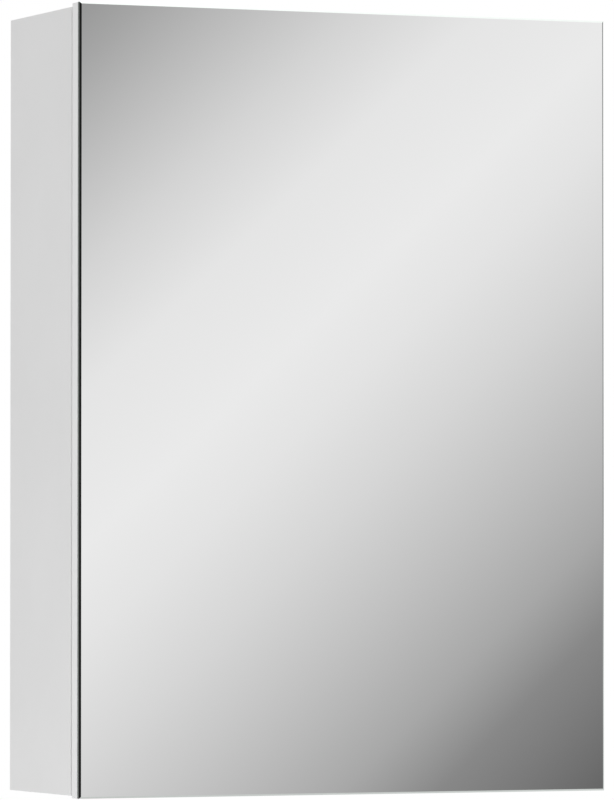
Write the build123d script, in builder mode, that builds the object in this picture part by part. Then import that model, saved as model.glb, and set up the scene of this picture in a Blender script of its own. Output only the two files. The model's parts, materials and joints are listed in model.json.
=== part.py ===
from build123d import *
import math
import os

os.makedirs("parts", exist_ok=True)

# Wall-hung mirror cabinet with one overlay door on two concealed cup hinges.
# Frame: +X right, the front faces -Y, the wall is the plane y = 0, +Z up.
# The origin is the middle of the wall rail's screw line, on the wall.
# All sizes are millimetres.

# Carcass
carcass_width = 500.0
carcass_height = 680.0
carcass_depth = 150.0
board = 16.0
edge_band = 1.0
band_joint = 0.05
rail_line_drop = 58.0

# Door and mirror
door_gap = 2.0
door_rise = 3.0
door_drop = 2.0
door_board = 13.0
tape_thick = 0.5
tape_width = 30.0
tape_margin = 18.0
tape_count = 4
glass_thick = 5.0
glass_chamfer = 1.6

# Back panel in its groove
back_board = 3.0
back_setback = 18.0
groove_depth = 6.0
groove_play = 0.1
back_edge_play = 0.8
window_width = 11.0
window_play = 1.5
window_corner = 2.0

# Line bores on the 32 mm system
pitch = 32.0
front_line = 37.0
line_spacing = 2 * pitch
line_bore_radius = 2.5
line_bore_depth = 10.0
bore_play = 0.05
bore_spare = 1.0
bores_per_shelf = 3

# Glass shelves on pegs
shelf_thick = 5.0
shelf_front_setback = 9.0
shelf_side_play = 1.5
shelf_back_play = 2.0
shelf_arris = 0.6
upper_shelf_pitches = 5
lower_shelf_pitches = 12
peg_length = 8.5
peg_plate = 1.0
peg_width = 9.0
peg_above = 4.2
peg_tab_drop = 3.0
peg_tab_length = 9.0
peg_tab_thick = 1.2

# Corner joints: cam, bolt and dowel
cam_radius = 7.5
cam_depth = 12.5
cam_play = 0.1
cam_setback = 24.0
cam_row = 41.0
dowel_row = 36.0
cam_slot_length = 11.0
cam_slot_width = 1.6
cam_slot_depth = 2.0
cam_cap_radius = 8.5
cam_cap_thick = 1.2
cam_cap_taper = 20.0
bolt_radius = 2.5
bolt_thread_length = 11.0
bolt_head_radius = 3.2
bolt_head_length = 3.0
bolt_bore_radius = 4.0
dowel_radius = 4.0
dowel_length = 30.0
dowel_in_side = 11.0

# Wall rail, a joggled steel strip
rail_thick = 2.0
rail_end_play = 3.0
rail_below = 18.0
rail_above = 8.0
rail_joggle = 4.0
rail_lip = 10.0
rail_slot_width = 7.0
rail_slot_length = 16.0
rail_slot_inset = 39.0

# Hangers in the upper rear corners
hanger_width = 15.0
hanger_height = 54.0
hanger_depth = 34.0
hanger_wall = 2.0
hanger_top_drop = 2.0
hanger_peg_radius = 4.9
hanger_peg_length = 9.0
hook_thick = 3.0
hook_play = 0.3
hook_bar = 6.0
hook_tip = 9.0
hook_travel = 6.0
hanger_screw_head = 4.0
hanger_screw_sink = 11.0
hanger_screw_proud = 0.2
hanger_slot_length = 5.6
hanger_slot_width = 1.2
hanger_slot_depth = 1.5
hanger_corner = 3.0
cover_thick = 1.5
cover_gap = 0.6
cover_lap = 3.0

# Concealed hinge: where it stands
hinge_end_inset = 100.0
cup_radius = 17.5
cup_edge = 5.0
cup_depth = 11.5
cup_floor = 0.6
cup_wall = 1.0
cup_play = 0.1
cup_channel = 12.0
cup_flange = 0.8
cup_flange_lap = 0.6
cup_screw_spacing = 48.0
cup_screw_offset = 6.0
cup_ear_radius = 6.0

# Concealed hinge: pivots, from the door's outer edge and back face, and from the
# inner face and front edge of the side panel
outer_pivot_edge = 11.0
outer_pivot_depth = 3.5
inner_pivot_edge = 12.0
inner_pivot_depth = 7.5
front_pin_height = 14.0
front_pin_setback = 8.0
rear_pin_height = 18.0
rear_pin_setback = 12.5

# Concealed hinge: pins, links and arm
arm_pin_radius = 1.25
cup_pin_radius = 1.0
pin_play = 0.05
pin_reach = 0.2
pin_proud = 0.4
outer_link_half = 1.5
bridge_half = 1.5
outer_eye_radius = 2.5
outer_link_sheet = 1.6
outer_link_inner = 4.0
inner_link_half = 1.75
inner_eye_radius = 2.3
inner_link_thick = 6.6
slot_half_width = 1.55
slot_wall = 1.3
slot_travel_in = 0.4
slot_travel_out = 2.3
slot_spare = 0.35
slot_tilt = -0.38
arm_inner_width = 12.4
arm_sheet = 1.5
arm_height = 20.5
arm_foot = 6.0
arm_length = 66.0
arm_web_start = 19.5
arm_eye_radius = 3.6
plate_thick = 2.5
plate_height = 52.0
plate_wing_width = 16.0
plate_rail_height = 10.5
plate_rail_start = 24.0
plate_rail_end = 62.0
plate_rail_play = 0.2
plate_screw_radius = 2.5
plate_screw_length = 11.0
plate_screw_head = 4.2
plate_screw_cone = 90.0
fixing_screw_setback = 52.0
side_screw_setback = 31.0
arm_screw_radius = 2.5
arm_screw_head = 4.2
arm_screw_head_thick = 2.6
arm_screw_taper = 8.0
arm_slot_length = 5.0
arm_slot_width = 1.1
arm_slot_depth = 1.4
wood_screw_radius = 1.75
wood_screw_head = 3.5
wood_screw_length = 10.0

# Door bumpers
bumper_radius = 4.0
bumper_thick = 1.7
bumper_inset = 8.0
bumper_taper = 15.0

# Worked out
half_width = carcass_width / 2
inner_half = half_width - board
rail_length = 2 * (inner_half - rail_end_play)
rail_slot_spacing = rail_length - 2 * rail_slot_inset
top = rail_line_drop
bottom = top - carcass_height
inner_top = top - board
inner_bottom = bottom + board
front = -carcass_depth
middle_z = (top + bottom) / 2
board_front = front + edge_band
door_back = front - door_gap
door_front = door_back - door_board
glass_back = door_front - tape_thick
glass_front = glass_back - glass_thick
door_top = top + door_rise
door_bottom = bottom - door_drop
door_height = door_top - door_bottom
door_middle = (door_top + door_bottom) / 2
back_rear = -back_setback
back_front = back_rear - back_board
shelf_depth = back_front - shelf_back_play - (front + shelf_front_setback)
hinge_pitches = math.floor((door_height - 2 * hinge_end_inset) / pitch)
hinge_upper_z = door_top - hinge_end_inset
hinge_lower_z = hinge_upper_z - hinge_pitches * pitch
first_bore_z = hinge_upper_z + pitch / 2
front_bore_y = front + front_line
rear_bore_y = front_bore_y + line_spacing
upper_shelf_bore = first_bore_z - upper_shelf_pitches * pitch
lower_shelf_bore = first_bore_z - lower_shelf_pitches * pitch
cam_y = -cam_row
dowel_y = front + dowel_row
panel_levels = (top - board / 2, bottom + board / 2)
hinges = {"upper": hinge_upper_z, "lower": hinge_lower_z}


def left_face(height=0.0):
    """Plane on the left panel's inner face; local x is world y, local y is world z."""
    return Plane(origin=(-inner_half + height, 0, 0), x_dir=(0, 1, 0), z_dir=(1, 0, 0))


def right_face(height=0.0):
    """Plane on the right panel's inner face; local x is minus world y, local y is world z."""
    return Plane(origin=(inner_half - height, 0, 0), x_dir=(0, -1, 0), z_dir=(-1, 0, 0))


def front_view(y):
    """Plane that faces the viewer at depth y; local x is world x, local y is world z."""
    return Plane(origin=(0, y, 0), x_dir=(1, 0, 0), z_dir=(0, -1, 0))


def hinge_plane(z):
    """Plane across a hinge: x from the right panel's inner face, y from the carcass front."""
    return Plane(origin=(inner_half, front, z), x_dir=(1, 0, 0), z_dir=(0, 0, 1))


def finish(builder, name):
    """Label one finished piece and write it."""
    builder.part.label = name
    export_step(builder.part, f"parts/{name}.step")


# Side panels: full height, with the back groove, corner joint bores and line bores
shelf_bore_rows = [
    (y, level - (step - bores_per_shelf // 2) * pitch)
    for y in (front_bore_y, rear_bore_y)
    for level in (upper_shelf_bore, lower_shelf_bore)
    for step in range(bores_per_shelf)
]
hanger_middle_y = back_front - hanger_depth / 2
hanger_middle_z = inner_top - hanger_top_drop - hanger_height / 2
hanger_pegs = [(hanger_middle_y, hanger_middle_z + side * hanger_height / 4) for side in (1, -1)]

with BuildPart() as side_panel_left:
    with BuildSketch(left_face(-board)):
        with Locations((board_front / 2, middle_z)):
            Rectangle(-board_front, carcass_height)
    extrude(amount=board)
    with BuildSketch(left_face(-groove_depth)):
        with Locations(((back_rear + back_front) / 2, middle_z)):
            Rectangle(back_board + 2 * groove_play, carcass_height)
    extrude(amount=groove_depth, mode=Mode.SUBTRACT)
    with Locations(left_face()):
        with Locations(*shelf_bore_rows):
            Hole(line_bore_radius + bore_play, line_bore_depth)
        with Locations(*[(cam_y, z) for z in panel_levels]):
            Hole(bolt_radius + bore_play, bolt_thread_length + bore_spare)
        with Locations(*[(dowel_y, z) for z in panel_levels]):
            Hole(dowel_radius + bore_play, dowel_in_side + bore_spare)
        with Locations(*hanger_pegs):
            Hole(hanger_peg_radius + bore_play, hanger_peg_length + bore_spare)
finish(side_panel_left, "side_panel_left")

plate_bores = [(-front_bore_y, z + side * pitch / 2) for z in hinges.values() for side in (1, -1)]
with BuildPart() as side_panel_right:
    mirror(side_panel_left.part, about=Plane.YZ)
    with Locations(right_face()):
        with Locations(*plate_bores):
            Hole(plate_screw_radius + bore_play, plate_screw_length - plate_thick + bore_spare)
finish(side_panel_right, "side_panel_right")


# Top and bottom panels between the sides, bored for cams, bolts and dowels
def flat_panel(middle, inward):
    """Top or bottom panel centred at height middle; inward is +1 or -1 towards the inside."""
    face = Plane(origin=(0, 0, middle + inward * board / 2), z_dir=(0, 0, inward))
    with BuildPart() as panel:
        with Locations((0, board_front / 2, middle)):
            Box(2 * inner_half, -board_front, board)
        with Locations((0, (back_rear + back_front) / 2, middle + inward * (board - groove_depth) / 2)):
            Box(2 * inner_half, back_board + 2 * groove_play, groove_depth, mode=Mode.SUBTRACT)
        for side in (1, -1):
            cam_x = side * (inner_half - cam_setback)
            centre = face.to_local_coords(Vector(cam_x, cam_y, middle + inward * board / 2))
            with Locations(face):
                with Locations((centre.X, centre.Y)):
                    Hole(cam_radius + cam_play, cam_depth)
            end = Plane(origin=(side * inner_half, 0, middle), x_dir=(0, 1, 0), z_dir=(side, 0, 0))
            with Locations(end):
                with Locations((cam_y, 0)):
                    Hole(bolt_bore_radius, cam_setback - cam_radius / 2)
                with Locations((dowel_y, 0)):
                    Hole(dowel_radius + bore_play, dowel_length - dowel_in_side + bore_spare)
    return panel


top_panel = flat_panel(panel_levels[0], -1)
finish(top_panel, "top_panel")
bottom_panel = flat_panel(panel_levels[1], 1)
finish(bottom_panel, "bottom_panel")

# Edge bands on the four front edges of the carcass
with BuildPart() as carcass_edge_bands:
    band_y = front + edge_band / 2
    with Locations((half_width - board / 2, band_y, middle_z), (board / 2 - half_width, band_y, middle_z)):
        Box(board, edge_band, carcass_height)
    with Locations(*[(0, band_y, z) for z in panel_levels]):
        Box(2 * (inner_half - band_joint), edge_band, board)
finish(carcass_edge_bands, "carcass_edge_bands")

# Back panel, slid into the grooves, with a window for each hook
window_x = inner_half - hanger_width / 2
lip_top = rail_above + rail_joggle + rail_lip
bar_bottom = lip_top + hook_play
bar_top = bar_bottom + hook_bar
window_top = bar_top + hook_travel + window_play
window_bottom = bar_bottom - hook_tip - window_play
window_z = (window_top + window_bottom) / 2
with BuildPart() as back_panel:
    reach = groove_depth - back_edge_play
    with Locations((0, (back_rear + back_front) / 2, middle_z)):
        Box(2 * (inner_half + reach), back_board, inner_top - inner_bottom + 2 * reach)
    with BuildSketch(front_view(back_front)):
        with Locations((window_x, window_z), (-window_x, window_z)):
            RectangleRounded(window_width, window_top - window_bottom, window_corner)
    extrude(amount=-back_board, mode=Mode.SUBTRACT)
finish(back_panel, "back_panel")


# Corner joint hardware: cams, bolts, caps and dowels
corner_joints = [(side, z, inward) for side in (1, -1) for z, inward in zip(panel_levels, (-1, 1))]

with BuildPart() as cam_bolts:
    for side, z, inward in corner_joints:
        axis = Plane(origin=(side * inner_half, cam_y, z), x_dir=(0, 1, 0), z_dir=(side, 0, 0))
        with BuildSketch(axis.offset(bolt_thread_length)):
            Circle(bolt_radius)
        extrude(amount=-(cam_setback + bolt_thread_length - bolt_head_length))
        with BuildSketch(axis.offset(-(cam_setback - bolt_head_length))):
            Circle(bolt_head_radius)
        extrude(amount=-bolt_head_length)
finish(cam_bolts, "cam_bolts")

with BuildPart() as cam_locks:
    for side, z, inward in corner_joints:
        cam_x = side * (inner_half - cam_setback)
        face_z = z + inward * board / 2
        mouth = Plane(origin=(cam_x, cam_y, face_z), z_dir=(0, 0, inward))
        with BuildSketch(mouth):
            Circle(cam_radius)
        extrude(amount=-(cam_depth - cam_play))
        with BuildSketch(mouth):
            Rectangle(cam_slot_length, cam_slot_width)
            Rectangle(cam_slot_width, cam_slot_length)
        extrude(amount=-cam_slot_depth, mode=Mode.SUBTRACT)
        with BuildSketch(Plane(origin=(cam_x - side * bolt_head_radius, cam_y, z), z_dir=(side, 0, 0))):
            Rectangle(2 * (bolt_head_radius + cam_play), 2 * (bolt_head_radius + cam_play))
        extrude(amount=cam_radius * 2, mode=Mode.SUBTRACT)
finish(cam_locks, "cam_locks")

with BuildPart() as cam_caps:
    for side, z, inward in corner_joints:
        cam_x = side * (inner_half - cam_setback)
        face_z = z + inward * board / 2
        with BuildSketch(Plane(origin=(cam_x, cam_y, face_z), z_dir=(0, 0, inward))):
            Circle(cam_cap_radius)
        extrude(amount=cam_cap_thick, taper=cam_cap_taper)
finish(cam_caps, "cam_caps")

with BuildPart() as wooden_dowels:
    for side in (1, -1):
        start_x = side * (inner_half + dowel_in_side)
        for z in panel_levels:
            with BuildSketch(Plane(origin=(start_x, dowel_y, z), z_dir=(-side, 0, 0))):
                Circle(dowel_radius)
            extrude(amount=dowel_length)
finish(wooden_dowels, "wooden_dowels")


# Glass shelves and their pegs
def glass_shelf(bore_z):
    """Polished glass plate lying on the tabs of four pegs in the bores at height bore_z."""
    rear = back_front - shelf_back_play
    with BuildPart() as shelf:
        with Locations((0, rear - shelf_depth / 2, bore_z - peg_tab_drop + shelf_thick / 2)):
            Box(2 * (inner_half - shelf_side_play), shelf_depth, shelf_thick)
        chamfer(shelf.edges().filter_by(Axis.X), length=shelf_arris)
    return shelf


def shelf_pegs(bore_z):
    """Four pegs: a round shank in the bore, a plate on the panel and a tab under the glass."""
    tab_top = bore_z - peg_tab_drop
    plate_low = tab_top - peg_tab_thick
    plate_high = bore_z + peg_above
    with BuildPart() as pegs:
        for face, direction in ((left_face, 1), (right_face, -1)):
            for y in (front_bore_y, rear_bore_y):
                with BuildSketch(face()):
                    with Locations((direction * y, bore_z)):
                        Circle(line_bore_radius)
                extrude(amount=-peg_length)
                with BuildSketch(face()):
                    with Locations((direction * y, (plate_low + plate_high) / 2)):
                        Rectangle(peg_width, plate_high - plate_low)
                extrude(amount=peg_plate)
                with BuildSketch(face(peg_plate)):
                    with Locations((direction * y, tab_top - peg_tab_thick / 2)):
                        Rectangle(peg_width, peg_tab_thick)
                extrude(amount=peg_tab_length)
    return pegs


for shelf_name, bore_z in (("upper", upper_shelf_bore), ("lower", lower_shelf_bore)):
    finish(glass_shelf(bore_z), f"shelf_{shelf_name}")
    finish(shelf_pegs(bore_z), f"shelf_{shelf_name}_pegs")


# Wall rail: lower strip on the wall, joggle, upper lip that the hooks hang on
rail_profile = [
    (0, -rail_below),
    (-rail_thick, -rail_below),
    (-rail_thick, rail_above),
    (-rail_thick - rail_joggle, rail_above + rail_joggle),
    (-rail_thick - rail_joggle, lip_top),
    (-rail_joggle, lip_top),
    (-rail_joggle, rail_above + rail_joggle + rail_thick / 2),
    (0, rail_above + rail_thick / 2),
]
with BuildPart() as wall_rail:
    with BuildSketch(Plane(origin=(-rail_length / 2, 0, 0), x_dir=(0, 1, 0), z_dir=(1, 0, 0))):
        with BuildLine():
            Polyline(*rail_profile, close=True)
        make_face()
    extrude(amount=rail_length)
    with BuildSketch(front_view(0)):
        with Locations((rail_slot_spacing / 2, 0), (-rail_slot_spacing / 2, 0)):
            SlotOverall(rail_slot_length, rail_slot_width)
    extrude(amount=rail_thick, mode=Mode.SUBTRACT)
finish(wall_rail, "wall_rail")


# Hangers: housing pegged to the side panel, steel hook, screws and cover
hanger_top = hanger_middle_z + hanger_height / 2
hanger_front = back_front - hanger_depth
hook_x = hanger_width / 2
tongue_bottom = hanger_top - hanger_height + 2 * hanger_wall + hook_play
tongue_front = back_front - hook_bar
pocket_half = hook_thick / 2 + hook_play
hanger_screw_spots = [(-inner_half + hook_x, z) for z in (hanger_middle_z + pitch / 2, hanger_middle_z)]

with BuildPart() as hanger_body_left:
    with BuildSketch(left_face()):
        with Locations((hanger_middle_y, hanger_middle_z)):
            RectangleRounded(hanger_depth, hanger_height, hanger_corner)
    extrude(amount=hanger_width)
    with BuildSketch(left_face()):
        with Locations(*hanger_pegs):
            Circle(hanger_peg_radius)
    extrude(amount=-hanger_peg_length)
    with BuildSketch(left_face(hook_x - pocket_half)):
        pocket_top = hanger_top - hanger_wall
        pocket_bottom = tongue_bottom - hook_play
        with Locations(((back_front + tongue_front - hook_play) / 2, (pocket_top + pocket_bottom) / 2)):
            Rectangle(back_front - tongue_front + hook_play, pocket_top - pocket_bottom)
    extrude(amount=2 * pocket_half, mode=Mode.SUBTRACT)
    with BuildSketch(front_view(hanger_front)):
        with Locations(*hanger_screw_spots):
            Circle(hanger_screw_head + hook_play)
    extrude(amount=-hanger_screw_sink, mode=Mode.SUBTRACT)
finish(hanger_body_left, "hanger_body_left")

with BuildPart() as hanger_hook_left:
    with BuildSketch(left_face(hook_x - hook_thick / 2)):
        with BuildLine():
            Polyline(
                (tongue_front, tongue_bottom),
                (back_front, tongue_bottom),
                (back_front, bar_bottom),
                (-rail_joggle + hook_play, bar_bottom),
                (-rail_joggle + hook_play, bar_bottom - hook_tip),
                (-hook_play, bar_bottom - hook_tip),
                (-hook_play, bar_top),
                (tongue_front, bar_top),
                close=True,
            )
        make_face()
    extrude(amount=hook_thick)
finish(hanger_hook_left, "hanger_hook_left")

with BuildPart() as hanger_screws_left:
    with BuildSketch(front_view(hanger_front - hanger_screw_proud)):
        with Locations(*hanger_screw_spots):
            Circle(hanger_screw_head)
    extrude(amount=-hanger_screw_sink)
    with BuildSketch(front_view(hanger_front - hanger_screw_proud)):
        with Locations(*hanger_screw_spots):
            Rectangle(hanger_slot_length, hanger_slot_width)
            Rectangle(hanger_slot_width, hanger_slot_length)
    extrude(amount=-hanger_slot_depth, mode=Mode.SUBTRACT)
finish(hanger_screws_left, "hanger_screws_left")

with BuildPart() as hanger_cover_left:
    with BuildSketch(left_face(hanger_width)):
        with Locations((hanger_middle_y, hanger_middle_z)):
            RectangleRounded(hanger_depth, hanger_height, hanger_corner)
    extrude(amount=cover_thick)
    with BuildSketch(front_view(hanger_front - cover_gap)):
        with Locations((-inner_half + (hanger_width + cover_thick) / 2, hanger_middle_z)):
            Rectangle(hanger_width + cover_thick, hanger_height)
    extrude(amount=cover_thick)
    with BuildSketch(left_face(hanger_width)):
        with Locations((hanger_front + (cover_lap - cover_gap - cover_thick) / 2, hanger_middle_z)):
            Rectangle(cover_gap + cover_thick + cover_lap, hanger_height)
    extrude(amount=cover_thick)
finish(hanger_cover_left, "hanger_cover_left")

for piece_name, left_piece in (
    ("hanger_body", hanger_body_left),
    ("hanger_hook", hanger_hook_left),
    ("hanger_screws", hanger_screws_left),
    ("hanger_cover", hanger_cover_left),
):
    with BuildPart() as right_piece:
        mirror(left_piece.part, about=Plane.YZ)
    finish(right_piece, f"{piece_name}_right")


# Concealed hinge, in the hinge plane's coordinates
door_edge_x = board
outer_cup_pivot = (door_edge_x - outer_pivot_edge, -door_gap - outer_pivot_depth)
inner_cup_pivot = (door_edge_x - inner_pivot_edge, -door_gap - inner_pivot_depth)
front_arm_pivot = (-front_pin_height, front_pin_setback)
rear_arm_pivot = (-rear_pin_height, rear_pin_setback)
cup_x = door_edge_x - cup_edge - cup_radius
plate_rail_width = arm_inner_width - 2 * plate_rail_play
layers = (1, -1)


def from_point(origin, *steps):
    """Points at the given steps from an origin."""
    return [(origin[0] + dx, origin[1] + dy) for dx, dy in steps]


outer_link_route = (
    [front_arm_pivot]
    + from_point(front_arm_pivot, (1.5, -6.0))
    + from_point(outer_cup_pivot, (-12.0, 1.5), (-6.6, -3.6), (-2.4, -0.7))
    + [outer_cup_pivot]
)
inner_link_route = (
    [rear_arm_pivot]
    + from_point(rear_arm_pivot, (-1.2, -2.5), (-0.8, -11.0))
    + from_point(inner_cup_pivot, (-16.3, 4.7), (-10.8, -1.0), (-2.7, -0.4))
    + [inner_cup_pivot]
)


def thick_line(route, half):
    """Rounded band of the given half width along a route, in the sketch in hand."""
    for start, end in zip(route, route[1:]):
        run = Vector(*end) - Vector(*start)
        middle = (Vector(*start) + Vector(*end)) / 2
        angle = math.degrees(math.atan2(run.Y, run.X))
        with Locations((middle.X, middle.Y)):
            SlotCenterToCenter(run.length, 2 * half, rotation=angle)


def outer_link(z):
    """Forked outer link: two cheeks joined by a bridge, with an eye at each end."""
    with BuildPart() as link:
        for side in layers:
            low = outer_link_inner if side > 0 else -outer_link_inner - outer_link_sheet
            with BuildSketch(hinge_plane(z + low)):
                thick_line(outer_link_route, outer_link_half)
                with Locations(front_arm_pivot, outer_cup_pivot):
                    Circle(outer_eye_radius)
                with Locations(front_arm_pivot):
                    Circle(arm_pin_radius + pin_play, mode=Mode.SUBTRACT)
                with Locations(outer_cup_pivot):
                    Circle(cup_pin_radius + pin_play, mode=Mode.SUBTRACT)
            extrude(amount=outer_link_sheet)
        with BuildSketch(hinge_plane(z - outer_link_inner)):
            thick_line(from_point(front_arm_pivot, (1.2, -4.5), (1.5, -6.5)), bridge_half)
        extrude(amount=2 * outer_link_inner)
    return link


def inner_link(z):
    """Middle link: a round eye on the cup's deep pin, and a slot on the arm's rear pin."""
    reach = Vector(*rear_arm_pivot) - Vector(*inner_cup_pivot)
    along = reach.normalized().rotate(Axis.Z, slot_tilt)
    slot_ends = [
        Vector(*inner_cup_pivot) + along * (reach.length + step)
        for step in (-slot_travel_in - slot_spare, slot_travel_out + slot_spare)
    ]
    slot_route = [(end.X, end.Y) for end in slot_ends]
    with BuildPart() as link:
        with BuildSketch(hinge_plane(z - inner_link_thick / 2)):
            thick_line(inner_link_route, inner_link_half)
            thick_line(slot_route, slot_half_width + slot_wall)
            with Locations(inner_cup_pivot):
                Circle(inner_eye_radius)
            with Locations(inner_cup_pivot):
                Circle(cup_pin_radius + pin_play, mode=Mode.SUBTRACT)
        extrude(amount=inner_link_thick)
        with BuildSketch(hinge_plane(z - inner_link_thick / 2)):
            thick_line(slot_route, slot_half_width)
        extrude(amount=inner_link_thick, mode=Mode.SUBTRACT)
    return link


def hinge_arm(z):
    """Pressed channel arm: two cheeks with the pin holes and a web with two screw holes."""
    outer_half = arm_inner_width / 2 + arm_sheet
    with BuildPart() as arm:
        for low in (arm_inner_width / 2, -outer_half):
            with BuildSketch(hinge_plane(z + low)):
                with Locations(front_arm_pivot, rear_arm_pivot):
                    Circle(arm_eye_radius)
                with Locations(((-arm_height - arm_foot) / 2, (arm_web_start + arm_length) / 2)):
                    Rectangle(arm_height - arm_foot, arm_length - arm_web_start)
                make_hull()
                with Locations(front_arm_pivot, rear_arm_pivot):
                    Circle(arm_pin_radius + pin_play, mode=Mode.SUBTRACT)
            extrude(amount=arm_sheet)
        web_middle = (arm_web_start + arm_length) / 2
        with BuildSketch(hinge_plane(z - outer_half)):
            with Locations((-arm_height + arm_sheet / 2, web_middle)):
                Rectangle(arm_sheet, arm_length - arm_web_start)
        extrude(amount=2 * outer_half)
        with Locations(right_face(arm_height)):
            with Locations(
                (-front - fixing_screw_setback, z),
                (-front - side_screw_setback, z),
            ):
                Hole(arm_screw_radius + bore_play, 2 * arm_sheet)
    return arm


def mounting_plate(z):
    """Winged plate on the side panel with a rail that the arm straddles."""
    with BuildPart() as plate:
        rail_middle = (plate_rail_start + plate_rail_end) / 2
        with BuildSketch(right_face()):
            with Locations((-front - front_line, z)):
                SlotOverall(plate_height, plate_wing_width, rotation=90)
            with Locations((-front - rail_middle, z)):
                Rectangle(plate_rail_end - plate_rail_start, plate_rail_width)
        extrude(amount=plate_thick)
        with BuildSketch(right_face(plate_thick)):
            with Locations((-front - rail_middle, z)):
                Rectangle(plate_rail_end - plate_rail_start, plate_rail_width)
        extrude(amount=plate_rail_height - plate_thick)
        with Locations(right_face(plate_thick)):
            with Locations(*[(-front_bore_y, z + side * pitch / 2) for side in layers]):
                CounterSinkHole(plate_screw_radius + bore_play, plate_screw_head, plate_thick, plate_screw_cone)
        with Locations(right_face(plate_rail_height)):
            with Locations((-front - fixing_screw_setback, z)):
                Hole(arm_screw_radius + bore_play, plate_rail_height - plate_thick)
    return plate


def plate_screws(z):
    """Two countersunk system screws in the plate's wings."""
    cone = plate_screw_head - plate_screw_radius
    with BuildPart() as screws:
        for side in layers:
            centre = (inner_half, front_bore_y, z + side * pitch / 2)
            with BuildSketch(Plane(origin=centre, x_dir=(1, 0, 0), z_dir=(0, 0, 1))):
                with BuildLine():
                    Polyline(
                        (-plate_thick, 0),
                        (-plate_thick, plate_screw_head - bore_play),
                        (-plate_thick + cone, plate_screw_radius),
                        (plate_screw_length - plate_thick, plate_screw_radius),
                        (plate_screw_length - plate_thick, 0),
                        close=True,
                    )
                make_face()
            revolve(axis=Axis(centre, (1, 0, 0)))
    return screws


def arm_screws(z):
    """Fixing screw into the plate's rail and side adjusting screw that bears on it."""
    with BuildPart() as screws:
        for setback, tip in (
            (fixing_screw_setback, plate_thick),
            (side_screw_setback, plate_rail_height),
        ):
            with BuildSketch(right_face(arm_height)):
                with Locations((-front - setback, z)):
                    Circle(arm_screw_head)
            extrude(amount=arm_screw_head_thick, taper=arm_screw_taper)
            with BuildSketch(right_face(arm_height)):
                with Locations((-front - setback, z)):
                    Circle(arm_screw_radius)
            extrude(amount=-(arm_height - tip))
            with BuildSketch(right_face(arm_height + arm_screw_head_thick)):
                with Locations((-front - setback, z)):
                    Rectangle(arm_slot_length, arm_slot_width)
                    Rectangle(arm_slot_width, arm_slot_length)
            extrude(amount=-arm_slot_depth, mode=Mode.SUBTRACT)
    return screws


def arm_pins(z):
    """Rear pin across both cheeks, and two short front pins for the forked outer link."""
    outer_half = arm_inner_width / 2 + arm_sheet + pin_proud
    stub = outer_half - outer_link_inner + pin_reach
    with BuildPart() as pins:
        with BuildSketch(hinge_plane(z - outer_half)):
            with Locations(rear_arm_pivot):
                Circle(arm_pin_radius)
        extrude(amount=2 * outer_half)
        for low in (outer_half - stub, -outer_half):
            with BuildSketch(hinge_plane(z + low)):
                with Locations(front_arm_pivot):
                    Circle(arm_pin_radius)
            extrude(amount=stub)
    return pins


def hinge_cup(z):
    """Cast cup with a flange, two screw ears and a channel for the links."""
    body_radius = cup_radius - cup_play
    rim = Plane(origin=(inner_half + cup_x, door_back, z), x_dir=(1, 0, 0), z_dir=(0, -1, 0))
    ears = [(-cup_screw_offset, side * cup_screw_spacing / 2) for side in layers]
    with BuildPart() as cup:
        with BuildSketch(rim):
            Circle(body_radius)
        extrude(amount=cup_depth)
        with BuildSketch(rim):
            Circle(body_radius + cup_flange_lap)
            with Locations(*ears):
                Circle(cup_ear_radius)
            make_hull()
        extrude(amount=-cup_flange)
        with BuildSketch(rim.offset(-cup_flange)):
            Circle(body_radius - cup_wall)
            Rectangle(4 * cup_radius, cup_channel, mode=Mode.INTERSECT)
        extrude(amount=cup_depth - cup_floor + cup_flange, mode=Mode.SUBTRACT)
        with Locations(rim.offset(-cup_flange).rotated((180, 0, 0))):
            with Locations(*[(x, -y) for x, y in ears]):
                Hole(wood_screw_radius + bore_play, cup_flange * 2)
        with BuildSketch(hinge_plane(z - cup_radius / 2)):
            with Locations(outer_cup_pivot, inner_cup_pivot):
                Circle(cup_pin_radius + pin_play)
        extrude(amount=cup_radius, mode=Mode.SUBTRACT)
    return cup


def cup_pins(z):
    """Full-width pin for the inner link, and two short pins for the forked outer link."""
    with BuildPart() as pins:
        with BuildSketch(hinge_plane(z - cup_radius / 2)):
            with Locations(inner_cup_pivot):
                Circle(cup_pin_radius)
        extrude(amount=cup_radius)
        stub = cup_radius / 2 - outer_link_inner + pin_reach
        for low in (outer_link_inner - pin_reach, -cup_radius / 2):
            with BuildSketch(hinge_plane(z + low)):
                with Locations(outer_cup_pivot):
                    Circle(cup_pin_radius)
            extrude(amount=stub)
    return pins


def cup_screws(z):
    """Two pan-head wood screws through the cup's ears."""
    spots = [(cup_x - cup_screw_offset, z + side * cup_screw_spacing / 2) for side in layers]
    with BuildPart() as screws:
        with BuildSketch(front_view(door_back + cup_flange)):
            with Locations(*[(inner_half + x, height) for x, height in spots]):
                Circle(wood_screw_radius)
        extrude(amount=wood_screw_length + cup_flange)
        with BuildSketch(front_view(door_back + cup_flange)):
            with Locations(*[(inner_half + x, height) for x, height in spots]):
                Circle(wood_screw_head)
        extrude(amount=-(door_gap - cup_flange) / 2)
    return screws


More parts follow.
